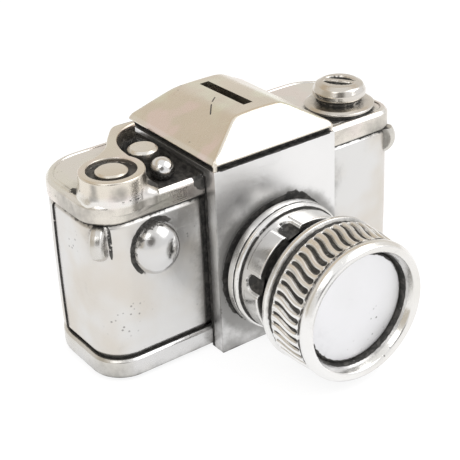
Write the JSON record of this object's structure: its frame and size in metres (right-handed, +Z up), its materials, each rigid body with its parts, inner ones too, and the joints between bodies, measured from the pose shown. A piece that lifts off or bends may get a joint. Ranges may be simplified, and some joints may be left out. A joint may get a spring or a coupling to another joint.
{
  "type": "camera shaped money box",
  "caption": "Silver-plated money box in the shape of a single-lens reflex camera, with a coin slot in its prism and a stopper in its base.",
  "frame": {"origin": "on the flat underside, in the lens's centre plane and under the middle of the coin slot", "axes": "+Z up, the lens faces -Y, and +X is to the right for someone who looks at the lens"},
  "size_m": [0.1478, 0.1164, 0.0951],
  "materials": {
    "silver_plate": "bright antiqued silver plate",
    "warm_silver_plate": "bright silver plate with a warm tarnish",
    "dark_silver_plate": "blackened silver plate",
    "satin_silver_plate": "satin silver plate",
    "steel": "plain",
    "stopper_rubber": "matte black"
  },
  "bodies": {
    "casing": {"front_shell": "silver_plate", "rear_cover": "silver_plate", "base_plate": "silver_plate", "top_plate": "warm_silver_plate", "lens_housing": "silver_plate", "prism_cap": "warm_silver_plate", "eyepiece_frame": "silver_plate", "wind_hub_disc": "warm_silver_plate", "speed_dial": "warm_silver_plate", "shutter_button": "silver_plate", "rewind_collar": "silver_plate", "rewind_knob": "warm_silver_plate", "grip_dome": "silver_plate", "strap_lug_left": "silver_plate", "strap_lug_right": "silver_plate", "mount_ring": "silver_plate", "aperture_ring": "silver_plate", "lens_neck": "dark_silver_plate", "retaining_ring": "steel", "lens_tie_bolt": "steel", "bolt_washer": "steel", "bolt_nut": "steel", "base_screw_1": "steel", "base_screw_2": "steel", "base_screw_3": "steel", "base_screw_4": "steel"},
    "lens_front": {"focus_ring": "silver_plate", "front_bezel": "silver_plate", "front_disc": "satin_silver_plate"},
    "stopper": {"coin_stopper": "stopper_rubber"}
  },
  "joints": [
    {"name": "focus_turn", "type": "hinge", "parent": "casing", "child": "lens_front", "pos_m": [0, -0.0597, 0.0326], "axis": [0, -1, 0], "continuous": true},
    {"name": "stopper_pull", "type": "slide", "parent": "casing", "child": "stopper", "axis": [0, 0, -1], "range_m": [0, 0.03]}
  ]
}
